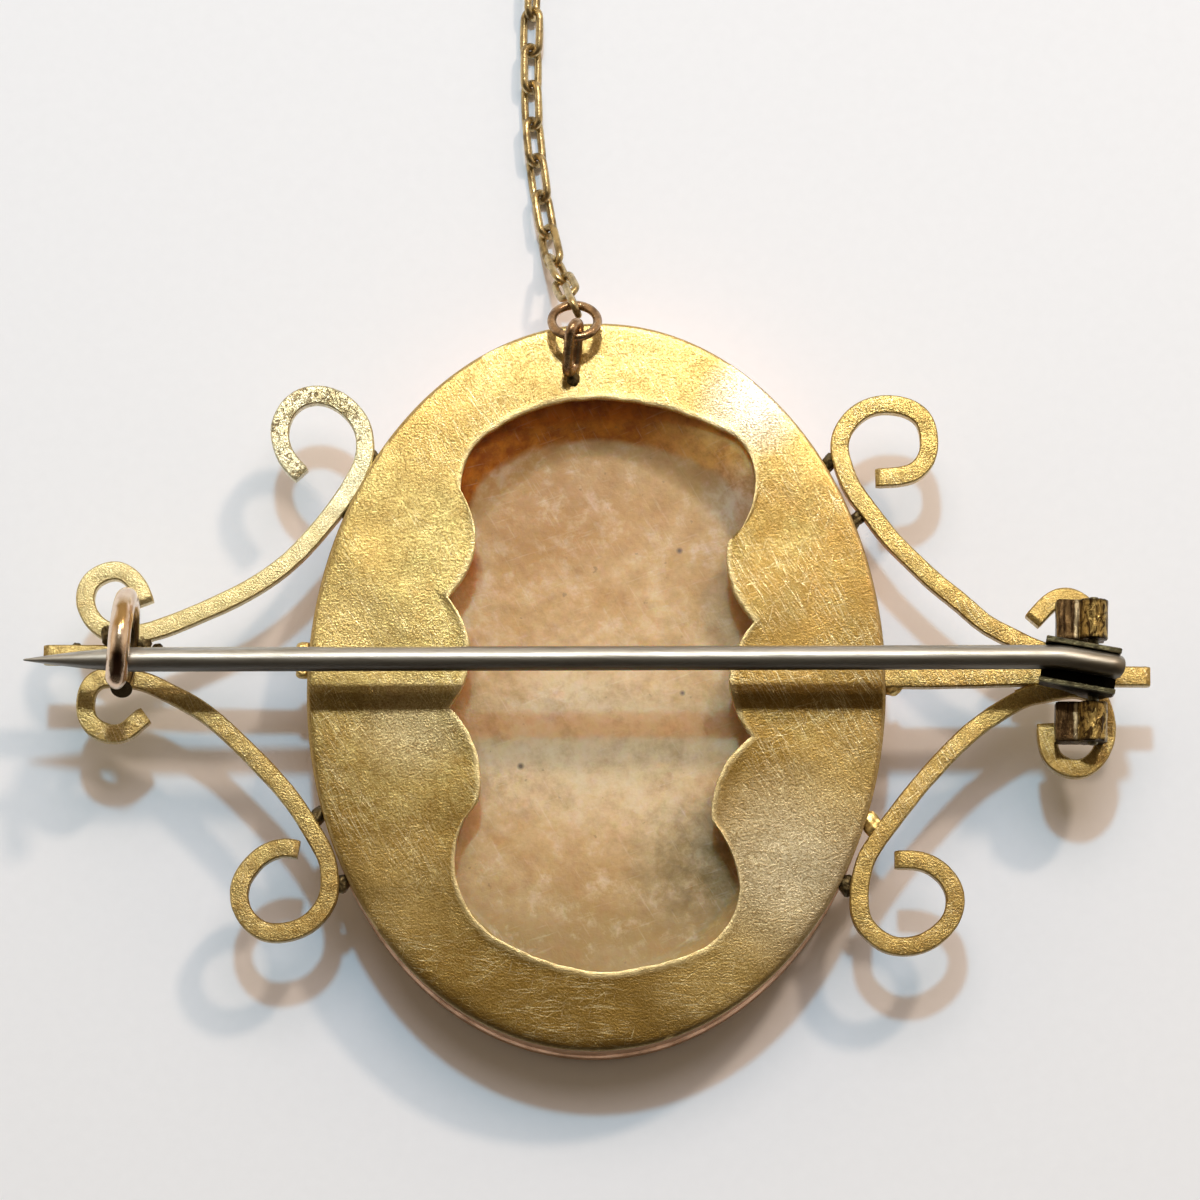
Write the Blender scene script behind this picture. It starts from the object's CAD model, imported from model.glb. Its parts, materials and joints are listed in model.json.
"""Looks for a cameo brooch that lies face down on a pale table, with its back up.

Lengths are in millimetres until `piece` turns them into metres. X runs along the two bars toward
the hinge, Y up the oval, and Z up from the table.
"""
import json
from math import asin, atan2, copysign, cos, exp, hypot, pi, radians, sin, tan, tanh

import bmesh
import bpy
import numpy as np
from mathutils import Matrix, Vector, noise


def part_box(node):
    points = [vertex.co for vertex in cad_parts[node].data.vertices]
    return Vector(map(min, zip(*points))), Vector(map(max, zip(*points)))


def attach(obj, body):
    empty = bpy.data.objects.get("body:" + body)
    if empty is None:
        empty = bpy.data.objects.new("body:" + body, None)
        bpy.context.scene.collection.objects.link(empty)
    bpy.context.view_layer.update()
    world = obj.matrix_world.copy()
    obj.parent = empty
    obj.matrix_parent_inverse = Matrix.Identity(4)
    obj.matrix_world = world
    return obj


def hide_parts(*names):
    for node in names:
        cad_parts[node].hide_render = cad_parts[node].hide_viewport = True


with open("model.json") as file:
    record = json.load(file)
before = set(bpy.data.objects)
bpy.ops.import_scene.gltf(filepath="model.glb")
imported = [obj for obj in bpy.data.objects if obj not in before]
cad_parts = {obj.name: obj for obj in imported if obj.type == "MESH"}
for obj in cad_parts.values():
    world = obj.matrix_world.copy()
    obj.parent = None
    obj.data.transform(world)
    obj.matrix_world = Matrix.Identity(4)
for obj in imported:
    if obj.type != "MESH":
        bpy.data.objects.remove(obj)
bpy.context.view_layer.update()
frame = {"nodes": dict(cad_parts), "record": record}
MM = 0.001

# Places and sizes that repeat the solids', except that the pin wire is thicker than its solid
PLATE_TOP = 6.0
PLATE_LOW = 5.4
WIRE_TOP = 5.9
WIRE_LOW = 5.0
HALF_W = 15.7
HALF_H = 20.0
OVAL_EGG = 0.015
CATCH = (-25.55, 1.0, 8.57)
CATCH_R = 2.65
CATCH_LEAN = 0.07
HINGE_X = 26.85
HINGE_Z = 7.1
KNUCKLE_UPPER = (2.7, 4.9)
KNUCKLE_LOWER = (-2.9, -0.7)
PIN_Z = 8.95
PIN_R = 0.66
PIN_TIP = (-30.85, 0.15)
PIN_LEAN = radians(1.308)
PIN_SLOPE = tan(PIN_LEAN)


# Small mathematics

CURVE_STEP = 0.12


def oval(inset, t):
    """A point of the plate's outline, drawn in by some distance, at an angle in radians."""
    return np.array([(HALF_W - inset) * cos(t) * (1 - OVAL_EGG * sin(t)), (HALF_H - inset) * sin(t)])


def rough(x, y, z=0.0, scale=1.0):
    """Smooth noise from -1 to 1."""
    return noise.noise(Vector((x * scale, y * scale, z * scale + 17.3)))


def smooth_step(low, high, value):
    t = min(max((value - low) / (high - low), 0.0), 1.0)
    return t * t * (3 - 2 * t)


def resample(points):
    """Points at even distances along a polyline."""
    points = np.array(points, float)
    runs = np.linalg.norm(np.diff(points, axis=0), axis=1)
    at = np.concatenate([[0], np.cumsum(runs)])
    count = max(int(round(at[-1] / CURVE_STEP)), 2)
    where = np.linspace(0, at[-1], count + 1)
    return np.stack([np.interp(where, at, points[:, k]) for k in range(points.shape[1])], 1)


def curve(points, softness=0.3):
    """A smooth curve near hand-placed points, as even steps. Its two ends stay where they are."""
    points = np.array(points, float)
    padded = np.vstack([2 * points[0] - points[1], points, 2 * points[-1] - points[-2]])
    dense = []
    for a, b, c, d in zip(padded, padded[1:], padded[2:], padded[3:]):
        for t in np.linspace(0, 1, 12, endpoint=False):
            dense.append(0.5 * (2 * b + (c - a) * t + (2 * a - 5 * b + 4 * c - d) * t ** 2
                                + (3 * b - a - 3 * c + d) * t ** 3))
    dense.append(points[-1])
    even = resample(dense)
    reach = max(int(3 * softness / CURVE_STEP), 1)
    weights = np.exp(-0.5 * (np.arange(-reach, reach + 1) * CURVE_STEP / softness) ** 2)
    weights /= weights.sum()
    front = 2 * even[0] - even[reach:0:-1]
    back = 2 * even[-1] - even[-2:-reach - 2:-1]
    long = np.vstack([front, even, back])
    return np.stack([np.convolve(long[:, k], weights, "valid") for k in range(even.shape[1])], 1)


# Mesh making

def placed(name, data):
    """A new object of the scene."""
    obj = bpy.data.objects.new(name, data)
    bpy.context.collection.objects.link(obj)
    return obj


def piece(name, shape, material, node, body="root", crease=35, shares=None):
    """Adds a mesh piece from points and faces. It stands for a CAD node and rides on a body."""
    points, faces = shape
    mesh = bpy.data.meshes.new(name)
    mesh.from_pydata([[MM * float(c) for c in p] for p in points], [], faces)
    if shares:
        mesh.attributes.new("share", "FLOAT", "POINT").data.foreach_set("value", shares)
    bm = bmesh.new()
    bm.from_mesh(mesh)
    bmesh.ops.recalc_face_normals(bm, faces=bm.faces)
    bm.to_mesh(mesh)
    bm.free()
    mesh.polygons.foreach_set("use_smooth", [True] * len(mesh.polygons))
    mesh.set_sharp_from_angle(angle=radians(crease))
    mesh.materials.append(material)
    obj = placed(name, mesh)
    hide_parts(node)
    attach(obj, body)


def joined(parts):
    """Several closed surfaces as the points and faces of one mesh."""
    points, faces = [], []
    for part_points, part_faces in parts:
        start = len(points)
        points += list(part_points)
        faces += [[start + i for i in face] for face in part_faces]
    return points, faces


def grid_faces(rows, columns, close_rows=False):
    """Faces between rings of points. The rings are closed, and so is the row of them if asked."""
    faces = []
    for i in range(rows if close_rows else rows - 1):
        j = (i + 1) % rows
        for k in range(columns):
            k2 = (k + 1) % columns
            faces.append([i * columns + k, i * columns + k2, j * columns + k2, j * columns + k])
    return faces


def capped_faces(rows, columns):
    """Faces between rings of points, with a flat face over the first ring and over the last."""
    last = (rows - 1) * columns
    return grid_faces(rows, columns) + [list(range(columns)), list(range(last, last + columns))]


def sweep(path, section, up=(0, 0, 1), sizes=None, closed=False):
    """A section of (side, up) points swept along a path, with flat ends unless it is closed."""
    path = np.array(path, float)
    section = np.array(section, float)
    count, columns = len(path), len(section)
    points = []
    for i in range(count):
        if closed:
            run = path[(i + 1) % count] - path[i - 1]
        else:
            run = path[min(i + 1, count - 1)] - path[max(i - 1, 0)]
        run = run / np.linalg.norm(run)
        side = np.cross(up, run)
        side = side / np.linalg.norm(side)
        rise = np.cross(run, side)
        size = 1 if sizes is None else sizes[i]
        points += list(path[i] + size * (np.outer(section[:, 0], side) + np.outer(section[:, 1], rise)))
    return points, grid_faces(count, columns, True) if closed else capped_faces(count, columns)


def circle(radius, sides):
    return [[radius * cos(2 * pi * k / sides), radius * sin(2 * pi * k / sides)] for k in range(sides)]


def blob(x, y, z, across, along, up, degrees, seed):
    """A lump of solder: a rounded heap with an uneven skin."""
    rings, columns, wobble = 12, 20, 0.36
    turn = radians(degrees)
    points = []
    for i in range(rings):
        polar = pi * (i + 0.5) / rings
        for k in range(columns):
            a = 2 * pi * k / columns
            way = Vector((sin(polar) * cos(a), sin(polar) * sin(a), cos(polar)))
            size = 1 + wobble * noise.noise(way * 1.7 + Vector((seed * 3.1, 0, 0)))
            px, py = way.x * across * size, way.y * along * size
            points.append([x + px * cos(turn) - py * sin(turn),
                           y + px * sin(turn) + py * cos(turn), z + way.z * up * size])
    return points, capped_faces(rings, columns)


# Node building for materials

class Shader:
    """A material with a metal or solid surface, built from a few kinds of node."""

    def __init__(self, name):
        self.material = bpy.data.materials.new(name)
        self.material.use_nodes = True
        self.tree = self.material.node_tree
        self.surface = self.tree.nodes["Principled BSDF"]
        self.colour = None
        place = self.add("TexCoord").outputs["Object"]
        # Object coordinates in millimetres
        self.mm = self.add("VectorMath", {0: place, "Scale": 1 / MM}, operation="SCALE").outputs[0]

    def feed(self, socket, value):
        """Links a socket to another one, or sets its value."""
        if isinstance(value, bpy.types.NodeSocket):
            self.tree.links.new(value, socket)
        elif socket.type == "RGBA":
            socket.default_value = (*value, 1)
        else:
            socket.default_value = value

    def add(self, kind, inputs=None, **settings):
        new = self.tree.nodes.new("ShaderNode" + kind)
        for key, value in settings.items():
            setattr(new, key, value)
        for key, value in (inputs or {}).items():
            self.feed(new.inputs[key], value)
        return new

    def math(self, operation, a, b=0.0, clamp=False):
        return self.add("Math", {0: a, 1: b}, operation=operation, use_clamp=clamp).outputs[0]

    def plus(self, a, b):
        return self.math("ADD", a, b)

    def times(self, a, b):
        return self.math("MULTIPLY", a, b)

    def mapped(self, scale, turn=(0, 0, 0), move=(0, 0, 0)):
        """Millimetre coordinates, turned first and then scaled, by one number or by one for each axis."""
        sizes = scale if isinstance(scale, tuple) else (scale,) * 3
        inputs = {"Vector": self.mm, "Location": move, "Rotation": tuple(radians(a) for a in turn),
                  "Scale": tuple(1 / c for c in sizes)}
        return self.add("Mapping", inputs, vector_type="TEXTURE").outputs[0]

    def noise(self, source, detail=2.0, roughness=0.5, distortion=0.0, scale=1.0):
        inputs = {"Vector": source, "Scale": scale, "Detail": detail, "Roughness": roughness,
                  "Distortion": distortion}
        return self.add("TexNoise", inputs).outputs[0]

    def span(self, value, low, high, out_low=0.0, out_high=1.0):
        """The value's way from low to high, held inside the two outer values."""
        inputs = {"Value": value, "From Min": low, "From Max": high, "To Min": out_low, "To Max": out_high}
        return self.add("MapRange", inputs).outputs[0]

    def axis(self, letter):
        return self.add("SeparateXYZ", {0: self.mm}).outputs["XYZ".index(letter)]

    def ramp(self, letter, low, high, out_low=0.0, out_high=1.0):
        """The way from low to high along one axis in millimetres, held inside the two outer values."""
        return self.span(self.axis(letter), low, high, out_low, out_high)

    def mix(self, share, a, b):
        return self.add("Mix", {0: share, 6: a, 7: b}, data_type="RGBA").outputs[2]

    def paint(self, share, shade):
        """Lays a shade over the colour so far."""
        self.colour = self.mix(share, self.colour, shade)

    def share(self):
        """The mesh's own share of edge or wall, from 0 to 1."""
        return self.add("Attribute", attribute_name="share").outputs["Fac"]

    def near(self, x, y, radius, soft):
        """1 inside a circle round a place in millimetres, 0 outside it."""
        dx = self.math("SUBTRACT", self.axis("X"), x)
        dy = self.math("SUBTRACT", self.axis("Y"), y)
        squares = self.plus(self.times(dx, dx), self.times(dy, dy))
        return self.span(self.math("SQRT", squares), radius + soft, radius)

    def scratches(self, turns, along, across, low, high, seed=0.0):
        """Thin straight marks in several directions, 1 in a mark and 0 beside it."""
        total = None
        for i, degrees in enumerate(turns):
            place = self.mapped((along, across, along), (0, 0, degrees), (seed + 7.1 * i, 3.3 * i, 0))
            marks = self.span(self.noise(place, 2.0, 0.6), low, high)
            total = marks if total is None else self.math("MAXIMUM", total, marks)
        return total

    def bump(self, height, depth, normal=None):
        """A bump of some depth in millimetres."""
        inputs = {"Height": height, "Distance": depth * MM, "Strength": 1.0}
        if normal is not None:
            inputs["Normal"] = normal
        return self.add("Bump", inputs).outputs[0]

    def set(self, values):
        for name, value in values.items():
            self.feed(self.surface.inputs[name], value)

    def metal(self, source, low, high, normal):
        """Makes a metal in the colour so far, with a roughness from low to high after a noise."""
        self.set({"Base Color": self.colour, "Metallic": 1.0,
                  "Roughness": self.span(source, 0.3, 0.7, low, high), "Normal": normal})
        return self.material


def aged_gold(name, clean, brown, right, top, roughness=(0.27, 0.37), low_end=0.95, grit=0.020, pits=None,
              marks=(), edge=False):
    """Worn gold sheet: brushed one way, olive at the left, browner at the right and dark at the bottom."""
    s = Shader(name)
    clouds = s.noise(s.mapped(0.12), 4.0, 0.55, 0.3)
    mottle = s.noise(s.mapped(1.7, move=(4, 1, 2)), 6.0, 0.8)
    grain = s.noise(s.mm, 2.0, 0.8, scale=9.0)
    tarnish = s.plus(s.span(clouds, 0.42, 0.70, 0.0, 0.40), s.ramp("Y", 6.0, -17.0, 0.0, low_end))
    tarnish = s.math("ADD", tarnish, s.span(mottle, 0.38, 0.66, -0.15, 0.42), clamp=True)
    s.colour = s.mix(s.ramp("X", -7.0, 9.0), clean, right)
    top_colour, top_low, top_high, top_share = top
    s.paint(s.ramp("Y", top_low, top_high, 0.0, top_share), top_colour)
    tint = s.noise(s.mapped(0.5, move=(1, 7, 3)), 5.0, 0.75)
    s.paint(s.span(tint, 0.50, 0.66, 0.0, 0.45), (0.60, 0.56, 0.24))
    s.paint(s.span(tint, 0.46, 0.32, 0.0, 0.45), (0.70, 0.40, 0.14))
    s.paint(tarnish, brown)
    uneven = s.span(mottle, 0.35, 0.65, 1.0, 0.6)
    for x, y, reach, strength, shade in marks:
        s.paint(s.times(s.near(x, y, reach * 0.2, reach * 0.8), s.times(uneven, strength)), shade)
    # The brushing runs level below the window, and fine scratches cross it everywhere
    brushed = s.times(s.scratches((-61, -52, -66), 0.36, 15.0, 0.60, 0.68), s.ramp("Y", -14.0, -10.0))
    level = s.times(s.scratches((4, -9), 0.6, 15.0, 0.60, 0.67, seed=83.0), s.ramp("Y", -10.0, -14.0))
    crossed = s.times(s.scratches((38, 12, 78, 140), 0.6, 14.0, 0.645, 0.70, seed=31.0), 0.8)
    patches = s.span(s.noise(s.mapped(0.28, move=(9, 2, 5)), 3.0, 0.6), 0.42, 0.60, 0.15, 1.0)
    lines = s.times(s.math("MAXIMUM", s.math("MAXIMUM", brushed, level), crossed), patches)
    s.paint(s.times(lines, s.span(tarnish, 0.2, 1.0, 0.85, 0.62)), (1.0, 0.90, 0.58))
    s.paint(s.span(grain, 0.34, 0.66, 0.0, 0.75), brown)
    dark_lines = s.scratches((-48, 27, 96), 0.3, 14.0, 0.66, 0.76, seed=57.0)
    s.paint(s.times(dark_lines, 0.45), brown)
    waves = s.bump(s.noise(s.mapped(0.30)), 0.045)
    scored = s.bump(s.math("SUBTRACT", s.times(lines, -0.6), dark_lines), 0.003, s.bump(grain, grit, waves))
    if pits:
        holes = s.span(s.noise(s.mapped(4.0, move=(3, 8, 1)), 3.0, 0.7), 0.54, 0.68)
        holes = s.times(holes, s.near(*pits, 1.0))
        s.paint(s.times(holes, 0.7), (0.28, 0.18, 0.08))
        scored = s.bump(s.times(holes, -1.0), 0.04, scored)
    if edge:
        s.paint(s.times(s.share(), s.span(mottle, 0.32, 0.56, 0.15, 0.8)), (0.90, 0.76, 0.44))
    dull = s.plus(tarnish, s.times(lines, -0.5))
    s.set({"Base Color": s.colour, "Metallic": 1.0, "Roughness": s.span(dull, -0.3, 1.0, *roughness),
           "Normal": scored})
    return s.material


def shell_material():
    """Waxy shell, peach on its floor and deep orange on its wall, with faint stains and scuffs."""
    s = Shader("shell")
    cloudy = s.noise(s.mapped((0.15, 0.12, 0.2), move=(2, 6, 0)), 3.0, 0.5, 0.6)
    mottle = s.noise(s.mapped(0.8), 6.0, 0.7)
    s.colour = s.mix(s.span(cloudy, 0.36, 0.62), (0.67, 0.41, 0.17), (0.83, 0.61, 0.34))
    # Darker toward the top, the foot and the right, and palest in the middle
    s.paint(s.ramp("Y", 1.0, 12.0, 0.0, 0.70), (0.58, 0.335, 0.13))
    s.paint(s.ramp("Y", -7.5, -13.5, 0.0, 0.80), (0.37, 0.245, 0.085))
    s.paint(s.ramp("X", 3.0, 7.5, 0.0, 0.25), (0.46, 0.31, 0.13))
    s.paint(s.near(-0.5, -2.5, 2.0, 5.5), (0.78, 0.59, 0.35))
    s.paint(s.times(s.near(-2.5, 10.5, 1.0, 4.5), 0.55), (0.50, 0.26, 0.09))
    s.paint(s.span(mottle, 0.47, 0.70, 0.0, 0.55), (0.44, 0.24, 0.09))
    s.paint(s.span(mottle, 0.46, 0.30, 0.0, 0.40), (0.88, 0.74, 0.53))
    haze = s.noise(s.mapped((0.35, 0.5, 0.5), (0, 0, -40), (3, 1, 4)), 5.0, 0.7)
    haze = s.times(s.span(haze, 0.54, 0.72, 0.0, 0.40), s.ramp("Y", -8.0, -3.0, 0.3, 1.0))
    s.paint(haze, (0.90, 0.78, 0.62))
    # The wall, with a lit part at the upper right
    wall = s.mix(s.span(mottle, 0.40, 0.62), (0.60, 0.20, 0.016), (0.33, 0.085, 0.008))
    lit = s.times(s.ramp("X", 2.0, 6.0), s.ramp("Y", 8.0, 12.5))
    wall = s.mix(s.times(lit, s.span(mottle, 0.34, 0.62, 0.95, 0.4)), wall, (0.90, 0.55, 0.18))
    s.paint(s.span(s.share(), 0.05, 0.95, 0.0, 0.96), wall)
    # One dark stain, one pale one, three pinholes, specks and scuffs
    stain = s.times(s.near(5.9, -9.9, 1.4, 3.2), s.span(mottle, 0.35, 0.60, 0.40, 0.85))
    s.paint(stain, (0.20, 0.13, 0.035))
    pale = s.times(s.near(7.4, 10.6, 0.5, 1.8), s.span(mottle, 0.60, 0.40, 0.1, 0.55))
    s.paint(pale, (0.88, 0.82, 0.70))
    for x, y, radius in ((-4.05, -4.25, 0.10), (4.4, 7.95, 0.08), (4.7, 0.0, 0.05)):
        s.paint(s.near(x, y, radius * 0.7, 0.16), (0.20, 0.14, 0.10))
    s.paint(s.span(s.noise(s.mm, scale=1.9), 0.72, 0.76, 0.0, 0.4), (0.24, 0.14, 0.06))
    s.paint(s.times(s.scratches((-58, 20), 0.5, 6.0, 0.62, 0.74), 0.16), (0.92, 0.80, 0.62))
    s.set({"Base Color": s.colour, "Roughness": s.span(mottle, 0.3, 0.7, 0.36, 0.54),
           "Subsurface Weight": 1.0, "Subsurface Radius": (1.0, 0.45, 0.15), "Subsurface Scale": 1.6 * MM,
           "Specular IOR Level": 0.40, "Normal": s.bump(s.noise(s.mapped(0.8), 4.0), 0.07)})
    return s.material


def wire_metal(name, colour, dark, roughness, dark_share, scale=1.8, depth=0.03, threshold=0.55, soot=None):
    """Metal of the small parts: a colour with darker patches of tarnish, black below a height if asked."""
    s = Shader(name)
    patches = s.noise(s.mm, 4.0, 0.62, 0.3, scale)
    lines = s.noise(s.mapped(4.0, move=(5, 2, 8)), 3.0, 0.6, 0.0, scale)
    s.colour = s.mix(s.span(patches, threshold - 0.1, threshold + 0.1, 0.0, dark_share), colour, dark)
    if soot:
        s.paint(s.ramp("Z", soot, soot - 0.25), (0.006, 0.005, 0.004))
    return s.metal(patches, *roughness, s.bump(lines, depth * 0.5, s.bump(patches, depth)))


def catch_metal():
    """Rose gold polished by the pin: cream flanks and a dark crest, with one bright worn spot."""
    s = Shader("rose_gold")
    patches = s.noise(s.mapped((1.4, 1.0, 1.0)), 4.0, 0.6)
    x, y = s.axis("X"), s.axis("Y")
    middle = s.plus(s.times(s.math("SUBTRACT", y, CATCH[1]), CATCH_LEAN), CATCH[0])
    aside = s.plus(s.math("SUBTRACT", x, middle), s.span(patches, 0.3, 0.7, -0.10, 0.10))
    crest = s.span(s.math("ABSOLUTE", aside), 0.34, 0.20)
    reach = s.times(s.span(y, 3.5, 2.9), s.span(y, -1.25, -0.9))
    core = s.mix(s.span(y, 0.0, 1.2), (0.10, 0.03, 0.015), (0.44, 0.28, 0.10))
    core = s.mix(s.near(CATCH[0], 0.95, 0.30, 0.5), core, (0.95, 0.80, 0.66))
    s.colour = s.mix(s.span(patches, 0.42, 0.66, 0.0, 0.6), (0.86, 0.70, 0.54), (0.70, 0.46, 0.31))
    s.paint(s.times(s.times(crest, reach), 0.92), core)
    s.paint(s.ramp("Z", 7.5, 7.1, 0.0, 0.9), (0.10, 0.075, 0.035))
    return s.metal(patches, 0.15, 0.26, s.bump(patches, 0.03))


def pin_metal():
    """Drawn steel: bright on its upper flank, with dirt along its lower flank and toward its tail."""
    s = Shader("pin_steel")
    patches = s.noise(s.mapped((0.35, 5.0, 5.0)), 4.0, 0.62, 0.3, 1.6)
    streaks = s.noise(s.mapped((0.25, 2.2, 2.2), move=(3, 1, 6)), 4.0, 0.7)
    middle = s.plus(s.times(s.plus(s.axis("X"), -PIN_TIP[0]), PIN_SLOPE), PIN_TIP[1])
    off = s.math("SUBTRACT", s.axis("Y"), middle)
    s.colour = s.mix(s.span(patches, 0.45, 0.65, 0.0, 0.5), (0.56, 0.56, 0.54), (0.33, 0.335, 0.32))
    s.paint(s.span(streaks, 0.46, 0.68, 0.0, 0.45), (0.22, 0.20, 0.16))
    s.paint(s.span(off, -0.02, -0.56, 0.0, 0.85), (0.07, 0.06, 0.045))
    tail = s.times(s.ramp("X", 12.0, 27.0, 0.0, 0.65), s.span(streaks, 0.35, 0.60, 0.60, 1.0))
    s.paint(tail, (0.24, 0.20, 0.14))
    return s.metal(patches, 0.38, 0.48, s.bump(streaks, 0.006, s.bump(patches, 0.004)))


def hinge_metal():
    """Old brass: a dark streaky leaf, one bright worn line and a crinkled gold-brown tube."""
    s = Shader("hinge_brass")
    streaks = s.noise(s.mapped((4.5, 0.5, 3.0)), 4.0, 0.6, 0.4)
    crinkle = s.noise(s.mapped((3.2, 1.6, 3.2), move=(2, 4, 6)), 5.0, 0.7, 0.8)
    x = s.plus(s.axis("X"), s.span(s.noise(s.mm, scale=1.2), 0.3, 0.7, -0.06, 0.06))
    leaf = s.mix(s.span(streaks, 0.42, 0.60), (0.22, 0.135, 0.06), (0.035, 0.020, 0.010))
    leaf = s.mix(s.ramp("Y", 0.5, -0.5, 0.0, 0.6), leaf, (0.035, 0.018, 0.008))
    tube = s.mix(s.span(crinkle, 0.40, 0.56), (0.54, 0.38, 0.13), (0.05, 0.028, 0.010))
    s.colour = s.mix(s.span(x, HINGE_X - 0.86, HINGE_X - 0.72), leaf, tube)
    line = s.times(s.span(x, HINGE_X - 1.08, HINGE_X - 0.99), s.span(x, HINGE_X - 0.82, HINGE_X - 0.90))
    s.paint(s.times(line, s.span(streaks, 0.60, 0.42, 0.35, 1.0)), (0.86, 0.72, 0.46))
    s.paint(s.ramp("Z", HINGE_Z + 0.28, HINGE_Z - 0.35, 0.0, 0.85), (0.03, 0.018, 0.008))
    for low_y, high_y in (KNUCKLE_UPPER, KNUCKLE_LOWER):
        off = s.math("ABSOLUTE", s.math("SUBTRACT", s.axis("Y"), (low_y + high_y) / 2))
        rim = s.times(s.span(off, 0.86, 1.04), s.span(off, 1.4, 1.3))
        s.paint(s.times(rim, 0.8), (0.025, 0.016, 0.008))
    return s.metal(crinkle, 0.24, 0.42, s.bump(crinkle, 0.05, s.bump(streaks, 0.04)))


# Worn and dull patches of the plate. Columns: x, y, reach, strength and colour
PALE = (1.0, 0.90, 0.66)
YELLOW = (0.90, 0.68, 0.28)
DULL = (0.54, 0.34, 0.10)
PLATE_MARKS = [
    (10.8, -10.0, 6.2, 0.80, PALE), (7.2, -15.6, 4.8, 0.50, YELLOW), (13.6, -5.0, 4.0, 0.45, YELLOW),
    (-10.4, -11.6, 4.6, 0.40, YELLOW), (-10.0, -2.6, 3.4, 0.40, PALE), (-13.8, 2.6, 3.2, 0.80, YELLOW),
    (-12.8, 7.4, 3.4, 0.50, DULL), (-9.4, 14.2, 4.2, 0.80, DULL), (8.2, 15.6, 3.2, 1.0, (1.0, 0.98, 0.95))]

GOLD = aged_gold("gold", (0.76, 0.62, 0.25), (0.24, 0.145, 0.036), (0.52, 0.335, 0.10),
                 ((0.94, 0.70, 0.28), 9.0, 16.0, 0.8), marks=PLATE_MARKS, edge=True)
SCROLL_GOLD = aged_gold("scroll_gold", (0.86, 0.70, 0.31), (0.27, 0.17, 0.05), (0.78, 0.58, 0.21),
                        ((0.92, 0.72, 0.27), 9.0, 16.0, 0.75), roughness=(0.27, 0.42), low_end=0.45,
                        grit=0.032)
PITTED_GOLD = aged_gold("pitted_gold", (0.90, 0.79, 0.45), (0.50, 0.40, 0.18), (0.80, 0.54, 0.20),
                        ((0.98, 1.0, 0.80), 5.0, 11.5, 1.0), roughness=(0.30, 0.48), low_end=0.3, grit=0.030,
                        pits=(-16.2, 14.0, 2.6))
ROSE_RIM = wire_metal("rose_rim", (0.70, 0.44, 0.28), (0.34, 0.18, 0.09), (0.28, 0.42), 0.6, scale=0.7,
                      depth=0.02)
SHELL = shell_material()
SOLDER = wire_metal("solder", (0.17, 0.13, 0.065), (0.035, 0.024, 0.012), (0.40, 0.60), 0.9, scale=2.6,
                    depth=0.05)
GOLD_SOLDER = wire_metal("gold_solder", (0.80, 0.60, 0.24), (0.42, 0.26, 0.08), (0.34, 0.5), 0.6)
ROSE_GOLD = catch_metal()
HINGE_BRASS = hinge_metal()
DARK_STEEL = wire_metal("dark_steel", (0.17, 0.155, 0.095), (0.03, 0.026, 0.016), (0.30, 0.46), 0.85,
                        depth=0.04)
SOOTY_STEEL = wire_metal("sooty_steel", (0.13, 0.12, 0.07), (0.03, 0.026, 0.016), (0.30, 0.46), 0.85,
                         depth=0.04, soot=9.24)
PIN_STEEL = pin_metal()
CHAIN_GOLD = wire_metal("chain_gold", (0.60, 0.47, 0.24), (0.16, 0.11, 0.05), (0.26, 0.42), 0.8, scale=1.5,
                        threshold=0.54)
COPPER = wire_metal("copper", (0.56, 0.38, 0.22), (0.13, 0.07, 0.038), (0.22, 0.34), 0.75, scale=1.5,
                    threshold=0.52)


# Back plate with its scalloped window. Columns: across, up, and bulge of the stretch to the next row

WINDOW_W, WINDOW_H = 17.0, 31.5
WINDOW_ROWS = [
    (0.00, 1.00, 0.06), (0.86, 0.875, 0.12), (0.99, 0.715, 0.07), (0.90, 0.545, 0.0),
    (0.82, 0.50, -0.12), (1.00, 0.225, -0.20), (0.99, -0.175, -0.13), (0.75, -0.465, 0.07),
    (0.935, -0.69, 0.13), (0.71, -0.91, 0.05), (0.05, -1.00, 0.05), (-0.52, -0.91, 0.14),
    (-0.875, -0.65, 0.06), (-0.82, -0.48, 0.0), (-0.735, -0.415, -0.13), (-0.935, -0.095, -0.19),
    (-0.96, 0.29, -0.19), (-0.895, 0.665, 0.10), (-0.775, 0.85, 0.09)]


def window_points(steps=28):
    """The window's outline with the small unevenness of a saw and a file."""
    corners = [np.array([x * WINDOW_W / 2, y * WINDOW_H / 2]) for x, y, _ in WINDOW_ROWS]
    points = []
    for i, p in enumerate(corners):
        q = corners[(i + 1) % len(corners)]
        run = q - p
        for k in range(steps):
            t = k / steps
            at = p + run * t + 4 * WINDOW_ROWS[i][2] * t * (1 - t) * np.array([-run[1], run[0]])
            wander = 0.05 * rough(at[0], at[1], 0, 1.4) + 0.02 * rough(at[0], at[1], 5, 5.0)
            points.append(at * (1 + wander / np.linalg.norm(at)))
    return points


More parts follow.
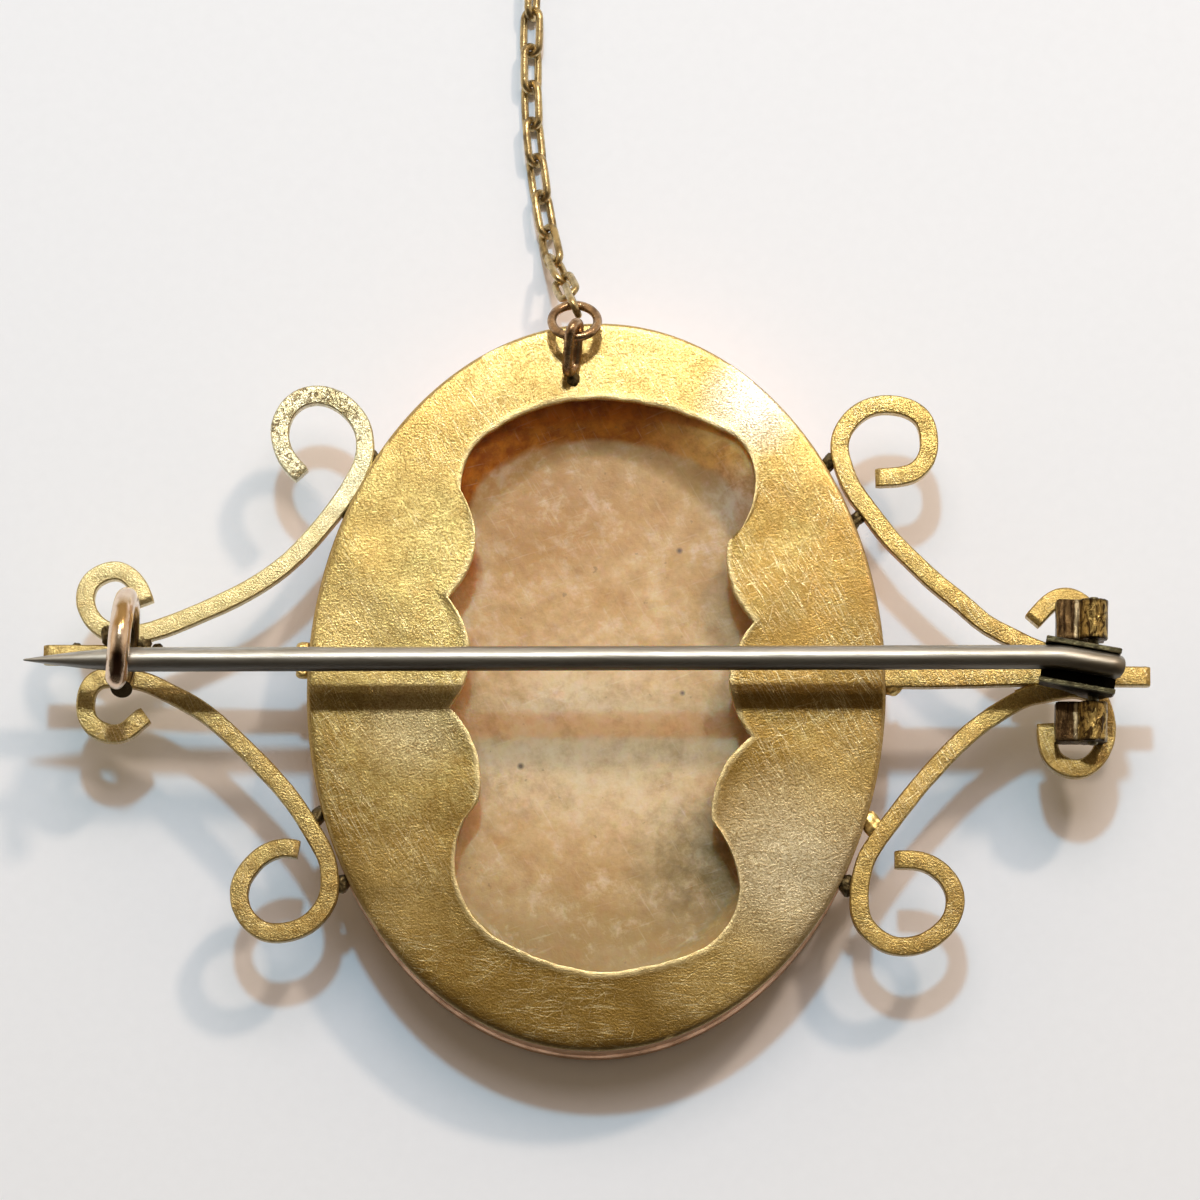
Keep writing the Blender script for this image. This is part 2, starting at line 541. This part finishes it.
def back_plate():
    inner = window_points()
    count = len(inner)
    # The outer edge's angles follow those of the window, evened out
    angles = np.unwrap([atan2(p[1] / HALF_H, p[0] / HALF_W) for p in inner])
    even = np.linspace(angles[0], angles[0] - 2 * pi, count, endpoint=False)
    drift = angles - even
    weights = np.hanning(41) / np.hanning(41).sum()
    drift = np.convolve(np.concatenate([drift[-20:], drift, drift[:20]]), weights, "valid")
    outer = [oval(0, t) for t in even + drift]
    low, top = PLATE_LOW, PLATE_TOP
    points, worn = [], []
    for p, q in zip(inner, outer):
        run = np.linalg.norm(q - p)
        way = (q - p) / run
        cut = 0.07 + 0.03 * rough(p[0], p[1], 0, 2.3)
        # Columns: distance from the window's edge, height and share of worn edge
        section = [(0.05, low, 0), (0.0, low + 0.05, 0), (0.0, top - cut, 0.4),
                   (cut * 0.3, top - cut * 0.3, 0.7), (cut, top - 0.01, 0.8), (cut + 0.16, top, 0.5),
                   (0.44, top, 0)]
        section += [(0.44 + (run - 0.89) * i / 10, top, 0) for i in range(1, 10)]
        section += [(run - 0.45, top - 0.01, 0), (run - 0.22, top - 0.035, 0),
                    (run - 0.07, top - 0.07, 0.5), (run, top - 0.15, 0.4),
                    (run, low + 0.08, 0), (run - 0.06, low, 0), (run * 0.5, low, 0)]
        for distance, z, bright in section:
            at = p + way * distance
            if z > top - 0.16:
                inside = smooth_step(0.0, 0.5, min(distance, run - distance))
                z += 0.035 * (rough(at[0], at[1], 0, 0.35) - 0.6) * inside - 0.16 * (at[1] / HALF_H) ** 2
            points.append([at[0], at[1], z])
            worn.append(bright)
    faces = grid_faces(count, len(points) // count, close_rows=True)
    piece("back_plate", (points, faces), GOLD, "frame", crease=40, shares=worn)


def bezel():
    """Wall of the setting and the thick rim round the front, as one closed band."""
    profile = [(0.22, 5.42), (0.20, 5.36), (0.20, 4.0), (0.20, 2.6), (0.20, 1.52), (0.14, 1.44), (0.08, 1.38),
               (0.05, 1.30), (0.05, 0.42), (0.10, 0.26), (0.20, 0.10), (0.34, 0.01), (0.46, 0.0), (1.05, 0.0),
               (1.22, 0.02), (1.38, 0.14), (1.50, 0.32), (1.50, 1.36), (1.46, 1.40), (0.75, 1.40),
               (0.70, 1.45), (0.70, 3.4), (0.70, 5.36), (0.68, 5.42)]
    count = 288
    points = []
    for i in range(count):
        t = 2 * pi * i / count
        for inset, z in profile:
            wander = 0.02 * rough(cos(t), sin(t), z, 6.0) if 0.5 < z < 5.3 else 0
            x, y = oval(inset + wander, t)
            points.append([x, y, z])
    faces = grid_faces(count, len(profile), close_rows=True)
    piece("bezel", (points, faces), ROSE_RIM, "frame", crease=30)


# Cameo

GROUND_Z = 1.48
CAMEO_TOP = 5.32
CAMEO_INSET = 0.78
FLOOR_Z = 3.1
FRONT_RINGS = 62
BACK_RINGS = 64
# Petals and leaves of the carving. Columns: turn in degrees, start, length, width and height
PETALS = [(45 * i + 22.5, 0.9, 5.5, 3.7, 0.62) for i in range(8)]
PETALS += [(45 * i, 0.6, 3.9, 2.6, 0.78) for i in range(8)]
PETALS += [(degrees, 5.2, 5.2, 3.0, 0.5) for degrees in (35, 145, 215, 325)]


def petal_height(x, y, degrees, start, length, width, height):
    """Height of a rounded petal or leaf that starts some way out from the middle."""
    angle = radians(degrees)
    u = x * cos(angle) + y * sin(angle) - start
    v = -x * sin(angle) + y * cos(angle)
    if not 0 < u < length:
        return 0.0
    share = u / length
    half = width / 2 * sin(pi * share ** 0.8) ** 0.75
    if abs(v) >= half:
        return 0.0
    crown = (1 - (v / half) ** 2) ** 0.6
    vein = 0.16 * exp(-(v / 0.13) ** 2) + 0.05 * abs(sin(9 * (abs(v) + 0.5 * u)))
    return height * crown * (0.55 + 0.45 * sin(pi * min(share * 1.1, 1))) * (1 - vein)


def relief(x, y):
    """Height of the carving on the front: one open flower with its leaves."""
    high = max(petal_height(x, y, *row) for row in PETALS)
    far = hypot(x, y) / 1.5
    if far < 1:
        seeds = 0.06 * sin(9 * x) * sin(9 * y)
        high = max(high, 0.86 * (1 - far ** 4) ** 0.5 * 0.98 + seeds * (1 - far))
    return min(high, 0.88)


def wall_line():
    """Where the floor turns into the orange wall: the window's outline, drawn in except at the bottom."""
    line = []
    for x, y in window_points(12):
        drop = 1.75 * smooth_step(0.0, 11.0, y) + 0.9 * smooth_step(-6.0, -12.0, y)
        line.append([x * 0.93 - 0.25 * smooth_step(4.0, 12.0, y), y - drop])
    return np.array(line)


def outside(line, x, y):
    """Distance from a closed line: above 0 outside it and below 0 inside."""
    ends = np.roll(line, -1, axis=0)
    run = ends - line
    off = np.array([x, y]) - line
    t = np.clip((off * run).sum(1) / (run * run).sum(1), 0, 1)
    far = np.linalg.norm(off - run * t[:, None], axis=1).min()
    crossings = ((line[:, 1] > y) != (ends[:, 1] > y)) & (
        x < run[:, 0] * (y - line[:, 1]) / np.where(run[:, 1] == 0, 1e-9, run[:, 1]) + line[:, 0])
    return far if crossings.sum() % 2 == 0 else -far


def cameo():
    columns = 224
    points, walls = [], []
    turns = [2 * pi * k / columns for k in range(columns)]
    # Front, from the middle out
    for ring in range(1, FRONT_RINGS + 1):
        share = ring / FRONT_RINGS
        for t in turns:
            x, y = oval(CAMEO_INSET + 0.03, t) * share
            fade = smooth_step(1.0, 0.93, share)
            points.append([x, y, GROUND_Z + 0.02 * rough(x, y, 0, 0.8) * fade - relief(x, y)])
    # Edge, then the hollow in the back from its rim to its middle
    for inset, z in (
            (CAMEO_INSET, GROUND_Z + 0.03), (CAMEO_INSET, CAMEO_TOP - 0.1), (CAMEO_INSET + 0.1, CAMEO_TOP)):
        for t in turns:
            x, y = oval(inset, t)
            points.append([x, y, z])
    line = wall_line()
    for ring in range(BACK_RINGS):
        share = 1.0 - 0.95 * ring / (BACK_RINGS - 1)
        for t in turns:
            x = 11.9 * share * cos(t)
            y = 17.3 * share * sin(t)
            edge = 0.84 - 0.08 * sin(t) + 0.03 * rough(cos(t), sin(t), 2, 1.6)
            rise = smooth_step(edge, 1.0, share) ** 0.8
            floor = FLOOR_Z - 0.035 * y
            z = floor + (CAMEO_TOP - floor) * rise
            z += (0.08 * rough(x, y, 3, 0.28) + 0.02 * rough(x, y, 9, 1.1)) * (1 - rise)
            points.append([x, y, z])
            ragged = 0.12 * rough(x, y, 4, 1.3)
            depth = 0.24 + 0.76 * smooth_step(6.5, 10.5, y - 0.3 * x)
            walls.append(depth * smooth_step(-0.16, 0.16, outside(line, x, y) + ragged))
    shares = [0.0] * (len(points) - len(walls)) + walls
    shape = points, capped_faces(len(points) // columns, columns)
    piece("cameo_shell", shape, SHELL, "cameo", crease=50, shares=shares)


# Bars and scrolls of flat wire

def flat_wire(width, thickness):
    """The section of flat wire, with bevelled edges and a slightly raised middle."""
    w, t, bevel = width / 2, thickness / 2, 0.08
    crown = t + 0.012
    return [(-w, -t + bevel), (-w, t - bevel), (-w + bevel, t), (-w / 3, crown), (w / 3, crown),
            (w - bevel, t), (w, t - bevel), (w, -t + bevel), (w - bevel, -t), (-w + bevel, -t)]


def flat_strip(path, width, seed):
    """A strip of flat wire along a curve in the plane of the bars, a little uneven as bent by hand."""
    full = [[x, y, (WIRE_TOP + WIRE_LOW) / 2] for x, y in path]
    section = flat_wire(width, WIRE_TOP - WIRE_LOW - 0.03)
    points, faces = sweep(full, section)
    columns = len(section)
    for i, centre in enumerate(full):
        along = i * CURVE_STEP
        end = min(i, len(full) - 1 - i) * CURVE_STEP
        size = 1 + 0.045 * rough(along * 0.6, seed, 0) + 0.02 * rough(along * 3, seed, 4)
        size *= 0.93 + 0.07 * smooth_step(0.0, 0.22, end)
        for k in range(i * columns, (i + 1) * columns):
            x, y, _ = points[k]
            offset = points[k] - centre
            offset[:2] *= size
            if offset[2] > 0.2:
                offset[2] += 0.02 * rough(x, y, seed, 1.1) - 0.02
                offset[2] -= 0.10 * (1 - smooth_step(0.0, 0.25, end))
            points[k] = centre + offset
    return points, faces


SCROLLS = {
    "scroll_upper_left": [
        (-16.3, 11.2), (-17.2, 12.2), (-17.6, 13.5), (-17.3, 14.7), (-16.5, 15.5), (-15.3, 15.7),
        (-14.1, 15.2), (-13.2, 14.2), (-12.9, 13.1), (-13.0, 12.0), (-13.7, 10.5), (-14.9, 8.7), (-16.8, 6.5),
        (-18.9, 4.9), (-21.6, 3.5), (-24.3, 2.4), (-26.1, 2.2), (-27.3, 2.8), (-27.9, 3.9), (-27.7, 5.0),
        (-26.9, 5.6), (-26.0, 5.7), (-25.1, 5.0), (-24.6, 3.9)],
    "scroll_upper_right": [
        (15.0, 11.7), (16.3, 11.8), (17.2, 12.1), (17.8, 12.9), (17.9, 13.9), (17.6, 15.0), (16.8, 15.6),
        (15.8, 15.8), (14.8, 15.7), (13.9, 15.2), (13.2, 14.3), (13.0, 13.3), (13.3, 12.1), (13.8, 11.0),
        (14.7, 9.8), (15.8, 8.4), (16.9, 7.3), (18.3, 6.0), (19.7, 4.9), (21.0, 3.8), (22.1, 3.2),
        (24.1, 2.3), (25.5, 2.1), (26.4, 2.8), (26.7, 4.1), (26.4, 4.9), (25.6, 5.3), (24.9, 5.2),
        (24.3, 4.7), (23.6, 3.9)],
    "scroll_lower_left": [
        (-15.9, -9.4), (-16.8, -9.3), (-17.8, -9.7), (-18.5, -10.4), (-19.0, -11.3), (-19.0, -12.4),
        (-18.5, -13.3), (-17.6, -13.9), (-16.5, -13.9), (-15.4, -13.5), (-14.6, -12.7), (-14.2, -11.8),
        (-14.2, -10.7), (-14.4, -9.8), (-15.0, -8.7), (-16.5, -6.5), (-18.8, -4.1), (-21.1, -2.1),
        (-23.3, -0.9), (-24.8, -0.3), (-26.8, -0.2), (-27.5, -0.7), (-27.7, -1.5), (-27.6, -2.4),
        (-27.1, -3.0), (-26.2, -3.3), (-25.4, -3.1), (-24.8, -2.5), (-24.4, -2.2)],
    "scroll_lower_right": [
        (16.3, -9.3), (17.5, -9.3), (18.4, -9.6), (19.2, -10.3), (19.6, -11.2), (19.5, -12.2), (19.0, -13.0),
        (18.1, -13.7), (17.1, -14.0), (16.0, -13.9), (15.0, -13.2), (14.5, -12.4), (14.4, -11.3),
        (14.5, -10.3), (14.9, -9.0), (16.4, -6.8), (18.2, -4.5), (20.5, -2.1), (23.0, -0.4), (24.4, 0.0),
        (26.0, 0.3), (27.1, -0.1), (27.6, -1.2), (27.7, -2.3), (27.3, -3.4), (26.5, -4.1), (25.6, -4.1),
        (24.8, -3.6), (24.5, -2.7), (24.4, -1.7)]}
BARS = {
    "bar_left": [(-30.05, 1.0), (-26.0, 1.05), (-20.0, 0.95), (-15.25, 1.0)],
    "bar_right": [(15.25, 0.62), (19.0, 0.70), (24.0, 0.92), (30.05, 1.0)]}


def scrolls_and_bars():
    for seed, (name, route) in enumerate(SCROLLS.items()):
        material = PITTED_GOLD if name == "scroll_upper_left" else SCROLL_GOLD
        shape = flat_strip(curve(route, softness=0.28), 1.0, seed + 1.5)
        piece(name, shape, material, "frame", crease=38)
    for seed, (name, route) in enumerate(BARS.items()):
        piece(name, flat_strip(curve(route), 1.05, seed + 11.0), SCROLL_GOLD, "frame", crease=38)


# Solder. Columns: x, y, z, half sizes across, along and up, and turn in degrees

DARK_SOLDER = [
    (-12.35, 12.15, 5.34, 0.40, 0.74, 0.36, 30), (-13.95, 9.35, 5.32, 0.38, 0.78, 0.40, 35),
    (12.45, 12.55, 5.34, 0.40, 0.68, 0.36, -35), (14.05, 9.45, 5.34, 0.38, 0.75, 0.38, -35),
    (-15.0, -7.6, 5.34, 0.40, 0.74, 0.38, -30), (-13.6, -11.2, 5.32, 0.48, 0.55, 0.36, -35),
    (13.75, -10.7, 5.32, 0.48, 0.62, 0.36, 35),
    (-26.5, 2.05, 5.80, 0.42, 0.62, 0.60, 0), (-24.72, 1.85, 5.58, 0.44, 0.62, 0.34, 10),
    (-24.85, -0.15, 5.45, 0.26, 0.36, 0.34, 0), (-23.9, 1.60, 5.42, 0.28, 0.16, 0.30, 10),
    (-28.3, 1.58, 5.40, 0.24, 0.16, 0.28, 0), (-1.62, 16.88, 5.92, 0.34, 0.46, 0.26, 12)]
BRIGHT_SOLDER = [
    (15.15, -7.45, 5.42, 0.55, 0.85, 0.42, 30), (16.1, 0.15, 5.42, 0.60, 0.42, 0.38, 20),
    (16.0, 1.25, 5.42, 0.45, 0.35, 0.36, -20), (-15.95, 1.7, 5.42, 0.45, 0.32, 0.34, 15),
    (-15.95, 0.3, 5.42, 0.45, 0.32, 0.34, -15), (23.6, 0.15, 5.42, 0.8, 0.3, 0.36, 8),
    (23.0, 1.85, 5.42, 0.7, 0.35, 0.36, -14)]


def solder():
    for name, rows, material in (
            ("solder_dark", DARK_SOLDER, SOLDER), ("solder_bright", BRIGHT_SOLDER, GOLD_SOLDER)):
        lumps = [blob(*row, seed) for seed, row in enumerate(rows)]
        piece(name, joined(lumps), material, "frame", crease=60)


# Catch

def catch():
    """The hook, a C of round wire with a filed end, flat where it stands on the bar."""
    wire, steps = 0.6, 96
    start, stop = radians(-138), radians(148)
    path, sizes = [], []
    for i in range(steps + 1):
        a = start + (stop - start) * i / steps
        y = CATCH_R * cos(a)
        path.append([CATCH[0] + CATCH_LEAN * y, CATCH[1] + y, CATCH[2] + CATCH_R * sin(a)])
        left = (stop - a) * CATCH_R
        sizes.append(0.62 + 0.38 * min(left / 0.45, 1.0))
    points, faces = sweep(path, circle(wire, 28), up=(1, 0, 0), sizes=sizes)
    for p in points:
        p[0] += 0.02 * rough(p[0], p[1], p[2], 1.5)
        p[2] = max(p[2], WIRE_TOP + 0.02)
    piece("catch_hook", (points, faces), ROSE_GOLD, "catch", crease=28)


# Hinge

TUBE_R = 0.8
LEAF_LEFT = 2.04
LEAF_RIGHT = 0.66
LEAF_LOW = 1.16
LEAF_TOP = 0.18


def knuckle(name, node, low_y, high_y, seed):
    """A rolled tube with the leaf it was rolled from. Its ends are ragged."""
    columns, steps = 72, 14
    outline = []
    for dx, dz in circle(1, columns):
        reach = TUBE_R
        if dz < 0:
            side = LEAF_RIGHT / dx if dx > 0.05 else LEAF_LEFT / max(-dx, 1e-6)
            reach = max(reach, min(side, LEAF_LOW / -dz))
        elif dx < -0.5:
            reach = max(reach, min(LEAF_LEFT / -dx, LEAF_TOP / max(dz, 1e-6)))
        outline.append((dx * reach, dz * reach))
    bore = circle(0.33, columns)
    middle = (low_y + high_y) / 2
    # Columns: ring of points, its place along the tube and its size
    rings = [(bore, low_y, 1), (outline, low_y, 0.94), (outline, low_y + 0.06, 1)]
    rings += [(outline, low_y + (high_y - low_y) * i / steps, 1) for i in range(1, steps)]
    rings += [(outline, high_y - 0.06, 1), (outline, high_y, 0.94), (bore, high_y, 1)]
    points = []
    for ring, ring_y, ring_size in rings:
        for x, z in ring:
            x, y, z = x * ring_size, ring_y, z * ring_size
            if ring is outline:
                ragged = 0.10 * rough(x * 2.2, z * 2.2, seed) if abs(y - middle) > 0.9 else 0
                groove = 0.035 * rough(x * 5, y * 1.2, z * 5 + seed)
                far = hypot(x, z)
                size = (far + groove - 0.02) / far
                x, z = x * size, max(z * size, WIRE_TOP + 0.03 - HINGE_Z)
                y += -abs(ragged) if y > middle else abs(ragged)
            points.append([HINGE_X + x, y, HINGE_Z + z])
    faces = grid_faces(len(rings), columns, close_rows=True)
    piece(name, (points, faces), HINGE_BRASS, node, crease=32)


def rivet():
    path = [[HINGE_X, y, HINGE_Z] for y in (-3.05, -3.02, -2.9, -1.0, 1.0, 3.0, 4.9, 5.02, 5.05)]
    sizes = [0.55, 0.85, 1, 1, 1, 1, 1, 0.85, 0.55]
    piece("hinge_pivot", sweep(path, circle(0.295, 24), sizes=sizes), DARK_STEEL, "hinge_rivet")


CHANNEL_TURN = radians(-9)
CHANNEL_Y = 0.85
WEB_Z = 7.97
WALL_TOP = 9.31
SHEET = 0.3


def slab(outline):
    """A plate of the channel's sheet from an outline in XZ, thick along Y, with bevelled edges."""
    outline = np.array(outline, float)
    middle = outline.mean(0)
    half, bevel = SHEET / 2, 0.05
    inner = middle + (outline - middle) * (1 - 2 * bevel / np.linalg.norm(outline - middle, axis=1))[:, None]
    rings = [(inner, -half), (outline, -half + bevel), (outline, half - bevel), (inner, half)]
    points = [[x, y, z] for shape, y in rings for x, z in shape]
    return points, capped_faces(len(rings), len(outline))


def channel():
    """Folded steel trough on two ears. Its cut ends have small burrs."""
    ear = [(TUBE_R * cos(radians(a)), HINGE_Z + TUBE_R * sin(radians(a)))
           for a in range(200, 341, 14)]
    parts = []
    for side in (-1, 1):
        burr = 0.10 if side < 0 else 0.05
        outline = [(-2.85, WEB_Z + 0.02), (-1.6, WEB_Z - 0.30)] + ear
        outline += [(1.00, WEB_Z - 0.25), (1.2, WEB_Z + 0.02), (1.22, WALL_TOP - 0.05), (1.0, WALL_TOP),
                    (0.4, WALL_TOP - 0.03), (-0.6, WALL_TOP + 0.01), (-1.6, WALL_TOP - 0.02),
                    (-2.65, WALL_TOP + 0.02), (-2.85 - burr, WALL_TOP + burr * 0.4), (-2.87, WALL_TOP - 0.25)]
        points, faces = slab(outline)
        parts.append(([[x, y + side * 1.125, z] for x, y, z in points], faces))
    web = [(-2.85, -1.0), (-2.85, 1.0), (1.2, 1.0), (1.2, -1.0)]
    points, faces = slab(web)
    parts.append(([[x, z, WEB_Z + SHEET / 2 + y] for x, y, z in points], faces))
    points, faces = joined(parts)
    way_x, way_y = cos(CHANNEL_TURN), sin(CHANNEL_TURN)
    points = [[HINGE_X + x * way_x - y * way_y, CHANNEL_Y + x * way_y + y * way_x, z] for x, y, z in points]
    piece("channel", (points, faces), SOOTY_STEEL, "pin_channel", body=channel_body, crease=30)


# Pin

def pin_path():
    """Middle line of the pin wire from its point to its tail, and the wire's radius along it."""
    along = np.array([cos(PIN_LEAN), sin(PIN_LEAN), 0])
    tip = np.array([*PIN_TIP, PIN_Z])
    path, radii = [], []
    for d in [0, 0.06, 0.2, 0.5, 1, 1.6, 2.2, 3, 3.8, 4.6, 5.4, 6.2]:
        path.append(tip + along * d)
        radii.append(0.05 + (PIN_R - 0.05) * (1 - (1 - min(d / 5.6, 1)) ** 1.35) if d else 0.02)
    path += [tip + along * d for d in np.linspace(7, 55.4, 90)]
    # The bend inside the channel, then the seat along it
    turn, radius, steps = radians(10.3), 6.0, 10
    heading = PIN_LEAN
    for _ in range(steps):
        heading -= turn / steps
        seat = np.array([cos(heading), sin(heading), 0])
        path.append(path[-1] + radius * turn / steps * seat)
    for _ in range(5):
        path.append(path[-1] + seat * 0.42)
    # The tail hooks down behind the channel
    turn, radius, steps = radians(40), 0.5, 8
    for i in range(1, steps + 1):
        fall = turn * i / steps
        way = seat * cos(fall) - np.array([0, 0, sin(fall)])
        path.append(path[-1] + radius * turn / steps * way)
    radii += [PIN_R] * (len(path) - len(radii))
    return path, radii


def pin():
    path, radii = pin_path()
    shape = sweep(path, circle(1.0, 32), sizes=radii)
    piece("pin_wire", shape, PIN_STEEL, "pin_stem", body=pin_body, crease=40)


# Eye, ring and chain. Columns: length, width, wire, and steps round the loop and round the wire

EYE = (3.5, 1.72, 0.54, 64, 16)
RING = (3.0, 3.0, 0.50, 72, 16)
LINK = (3.0, 1.5, 0.42, 48, 14)
RING_LEAN = radians(34)


def loop(middle, axes, length, width, wire, turns, sides):
    """A closed loop of round wire, long along the first axis, flat across the third."""
    long_axis, cross_axis, normal = axes
    r = (width - wire) / 2
    straight = (length - width) / 2
    path = []
    for i in range(turns):
        a = 2 * pi * (i + 0.5) / turns
        shift = straight * tanh(6 * cos(a))
        path.append(middle + long_axis * (r * cos(a) + shift) + cross_axis * (r * sin(a)))
    return sweep(path, circle(wire / 2, sides), up=normal, closed=True)


def axes_of(node):
    """Middle and main directions of a CAD node, the longest first, from its own mesh."""
    at = np.array([v.co for v in frame["nodes"][node].data.vertices]) / MM
    middle = at.mean(0)
    _, vectors = np.linalg.eigh(np.cov((at - middle).T))
    return middle, (vectors[:, 2], vectors[:, 1], vectors[:, 0])


def chain():
    piece("eye_loop", loop(*axes_of("chain_eye"), *EYE), COPPER, "chain_eye", crease=60)
    # The ring leans a little flatter than its solid, turned about its far side
    flat, steep = cos(RING_LEAN), sin(RING_LEAN)
    middle = axes_of("jump_ring")[0] + np.array([0, -0.14, -0.17])
    shape = loop(middle, np.array([[1, 0, 0], [0, flat, -steep], [0, steep, flat]]), *RING)
    piece("ring", shape, COPPER, "jump_ring", crease=60)
    for i in range(1, 12):
        node = f"link_{i:02d}"
        piece(f"chain_{i:02d}", loop(*axes_of(node), *LINK), CHAIN_GOLD, node, crease=60)


def safety_pin():
    """The small pin at the chain's end: a wire bent double with a closed cap."""
    low, high = (np.array(corner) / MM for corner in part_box("safety_pin"))
    wire, cap_len, cap_t, length = 0.44, 2.4, 0.9, 16.3
    middle_x = (low[0] + high[0]) / 2
    half = (high[0] - low[0]) / 2 - 0.1
    reach = half - wire / 2
    start_z = 0.72
    span = high[1] - low[1] - half
    slope = asin((start_z - wire / 2 - 0.02) / length)
    path = [[-reach, y, 0] for y in np.linspace(span - cap_len / 2, 0, 16)]
    for k in range(1, 16):
        a = pi * (1 + k / 16)
        path.append([reach * cos(a), reach * sin(a), 0])
    path += [[reach, y, 0] for y in np.linspace(0, span - cap_len / 2, 16)]
    cap = []
    for y, size in (
            (0, 0.80), (0.08, 0.92), (0.25, 1), (cap_len - 0.3, 1), (cap_len - 0.1, 0.9), (cap_len, 0.72)):
        for dx, dz in circle(1, 24):
            x = copysign(abs(dx) ** 0.45, dx) * (half + 0.08) * size
            z = copysign(abs(dz) ** 0.7, dz) * cap_t / 2 * size + cap_t / 2 - wire / 2
            cap.append([x, span - cap_len + y, z])
    points, faces = joined([sweep(path, circle(wire / 2, 16)), (cap, capped_faces(6, 24))])
    base_y = low[1] + half
    points = [[middle_x + x, base_y + y * cos(slope) + z * sin(slope),
               start_z - y * sin(slope) + z * cos(slope)] for x, y, z in points]
    piece("small_pin", (points, faces), CHAIN_GOLD, "safety_pin", crease=40)


# Camera, light and table

CAMERA_FAR = 350
VIEW_WIDTH = 65.22
SENSOR = 36
LAMP_FAR = 450
# Columns: name, slopes of its direction, size, power, colour, and whether it lights surfaces and makes gloss
LAMPS = [
    ("lamp_fill", 0.05, 0.52, 300, 0.74, (1.10, 0.97, 0.97), True, False),
    ("lamp_flash", -0.04, 0.46, 28, 0.56, (0.44, 0.95, 1.34), True, False),
    ("lamp_gloss", 0.0, 0.55, 40, 0.71, (1.0, 1.0, 0.92), False, True),
    ("lamp_side", 0.47, 0.74, 38, 0.42, (1.22, 0.98, 0.80), True, True)]
# Heights and colours of the room's light
ROOM = [
    (0.0, (0.64, 0.52, 0.39)), (0.5, (0.80, 0.65, 0.48)),
    (0.74, (0.56, 0.44, 0.32)), (0.94, (0.10, 0.07, 0.035))]


def camera():
    tilt, roll = radians(10), radians(1.15)
    target = Vector((0.10, 4.56, 6.0)) * MM
    back = Vector((sin(roll) * sin(tilt), -cos(roll) * sin(tilt), cos(tilt)))
    right = Vector((cos(roll), sin(roll), 0))
    data = bpy.data.cameras.new("camera")
    data.sensor_width = SENSOR
    data.lens = SENSOR * CAMERA_FAR / VIEW_WIDTH
    data.clip_start = 0.01
    data.clip_end = 20
    obj = placed("camera", data)
    turn = Matrix((right, back.cross(right), back)).transposed()
    obj.matrix_world = Matrix.Translation(target + back * CAMERA_FAR * MM) @ turn.to_4x4()
    bpy.context.scene.camera = obj


def lamps():
    """A soft fill, a cool flash over the camera, a lamp for gloss alone and a small warm lamp to the side."""
    for name, slope_x, slope_y, size, power, colour, soft, gloss in LAMPS:
        place = Vector((slope_x, slope_y, 1)).normalized() * LAMP_FAR * MM
        lamp = bpy.data.lights.new(name, "AREA")
        lamp.shape = "DISK"
        lamp.size = size * MM
        lamp.energy = power
        lamp.color = colour
        obj = placed(name, lamp)
        obj.location = place
        obj.rotation_euler = place.to_track_quat("Z", "Y").to_euler()
        obj.visible_diffuse = soft
        obj.visible_glossy = gloss


def room():
    """A warm room, dark on the side that the oval's foot points to."""
    world = bpy.data.worlds.new("room")
    bpy.context.scene.world = world
    world.use_nodes = True
    tree = world.node_tree
    kinds = ("TexCoord", "SeparateXYZ", "ValToRGB", "MapRange")
    ways, split, ramp, shade = (tree.nodes.new("ShaderNode" + kind) for kind in kinds)
    tree.links.new(ways.outputs["Generated"], split.inputs[0])
    tree.links.new(split.outputs["Z"], ramp.inputs[0])
    for position, _ in ROOM[1:-1]:
        ramp.color_ramp.elements.new(position)
    ramp.color_ramp.elements[0].position = ROOM[0][0]
    ramp.color_ramp.elements[-1].position = ROOM[-1][0]
    for element, (_, colour) in zip(ramp.color_ramp.elements, ROOM):
        element.color = (*colour, 1)
    shade.interpolation_type = "SMOOTHSTEP"
    for socket, value in (("From Min", 0.05), ("From Max", -0.42), ("To Min", 1.0), ("To Max", 0.10)):
        shade.inputs[socket].default_value = value
    tree.links.new(split.outputs["Y"], shade.inputs["Value"])
    tree.links.new(ramp.outputs[0], tree.nodes["Background"].inputs["Color"])
    tree.links.new(shade.outputs[0], tree.nodes["Background"].inputs["Strength"])


def table():
    half = 3000
    mesh = bpy.data.meshes.new("table")
    corners = ((-half, -half), (half, -half), (half, half), (-half, half))
    mesh.from_pydata([[MM * x, MM * y, 0] for x, y in corners], [], [[0, 1, 2, 3]])
    s = Shader("table_top")
    fibre = s.noise(s.mm, 4.0, 0.6, scale=1.4)
    s.set({"Base Color": s.mix(s.span(fibre, 0.3, 0.7), (0.885, 0.875, 0.86), (0.90, 0.89, 0.875)),
           "Roughness": 0.85, "Specular IOR Level": 0.2, "Normal": s.bump(fibre, 0.003)})
    mesh.materials.append(s.material)
    placed("table", mesh)


bodies = {node: body for body, rows in frame["record"]["behaviour"]["bodies"].items() for node in rows}
channel_body = bodies["pin_channel"]
pin_body = bodies["pin_stem"]

bpy.context.scene.view_settings.view_transform = "Standard"
camera()
lamps()
room()
table()
back_plate()
bezel()
cameo()
scrolls_and_bars()
solder()
catch()
knuckle("knuckle_upper", "hinge_knuckle_upper", *KNUCKLE_UPPER, 1.0)
knuckle("knuckle_lower", "hinge_knuckle_lower", *KNUCKLE_LOWER, 5.0)
rivet()
channel()
pin()
chain()
safety_pin()
